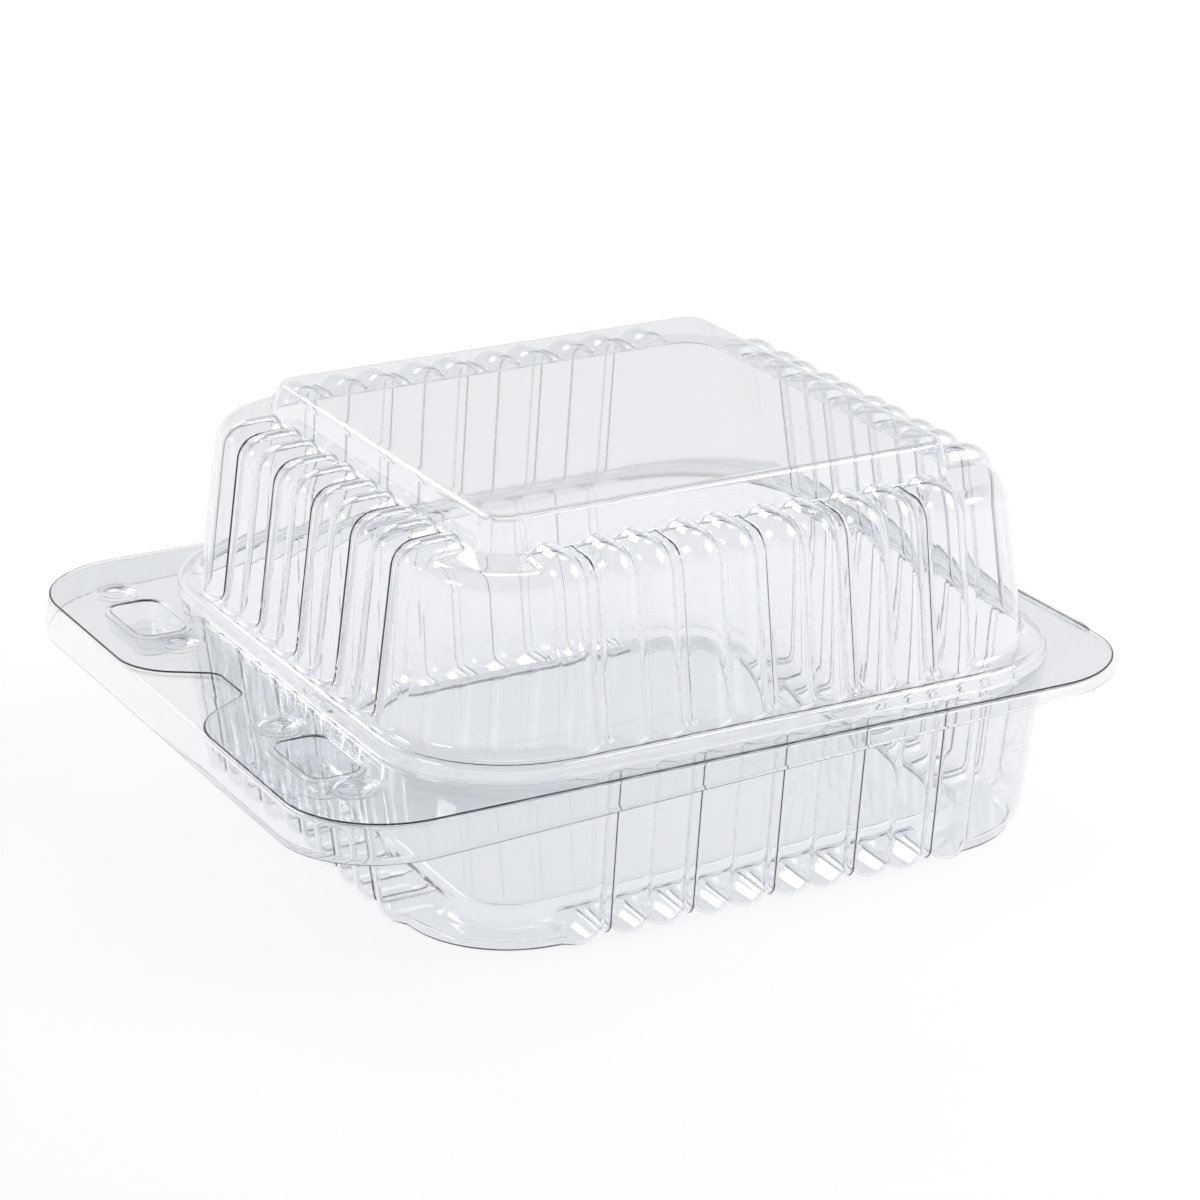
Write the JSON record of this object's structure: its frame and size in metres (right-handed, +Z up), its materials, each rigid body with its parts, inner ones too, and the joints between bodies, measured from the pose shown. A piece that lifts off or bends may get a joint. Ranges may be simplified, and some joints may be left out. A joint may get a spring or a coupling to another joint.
{
  "type": "clear hinged plastic pack",
  "caption": "Clear thin-sheet food pack with a hinged fluted lid, a fluted tray, a thumb notch and press buttons in a wide closing flange.",
  "frame": {"origin": "middle of the closed pack's outline, on the surface that the tray stands on", "axes": "+Y towards the hinge, -Y the closing edge with the thumb notch, +X to the right seen from the closing edge, +Z up"},
  "size_m": [0.1522, 0.1746, 0.0778],
  "materials": {
    "clear_sheet": "clear thermoformed sheet, glossy on both faces"
  },
  "bodies": {
    "tray": {"tray": "clear_sheet"},
    "lid": {"lid": "clear_sheet"}
  },
  "joints": [
    {"name": "lid_hinge", "type": "hinge", "parent": "tray", "child": "lid", "pos_m": [0, 0.0873, 0.03525], "axis": [-1, 0, 0], "range_deg": [0, 168]}
  ]
}
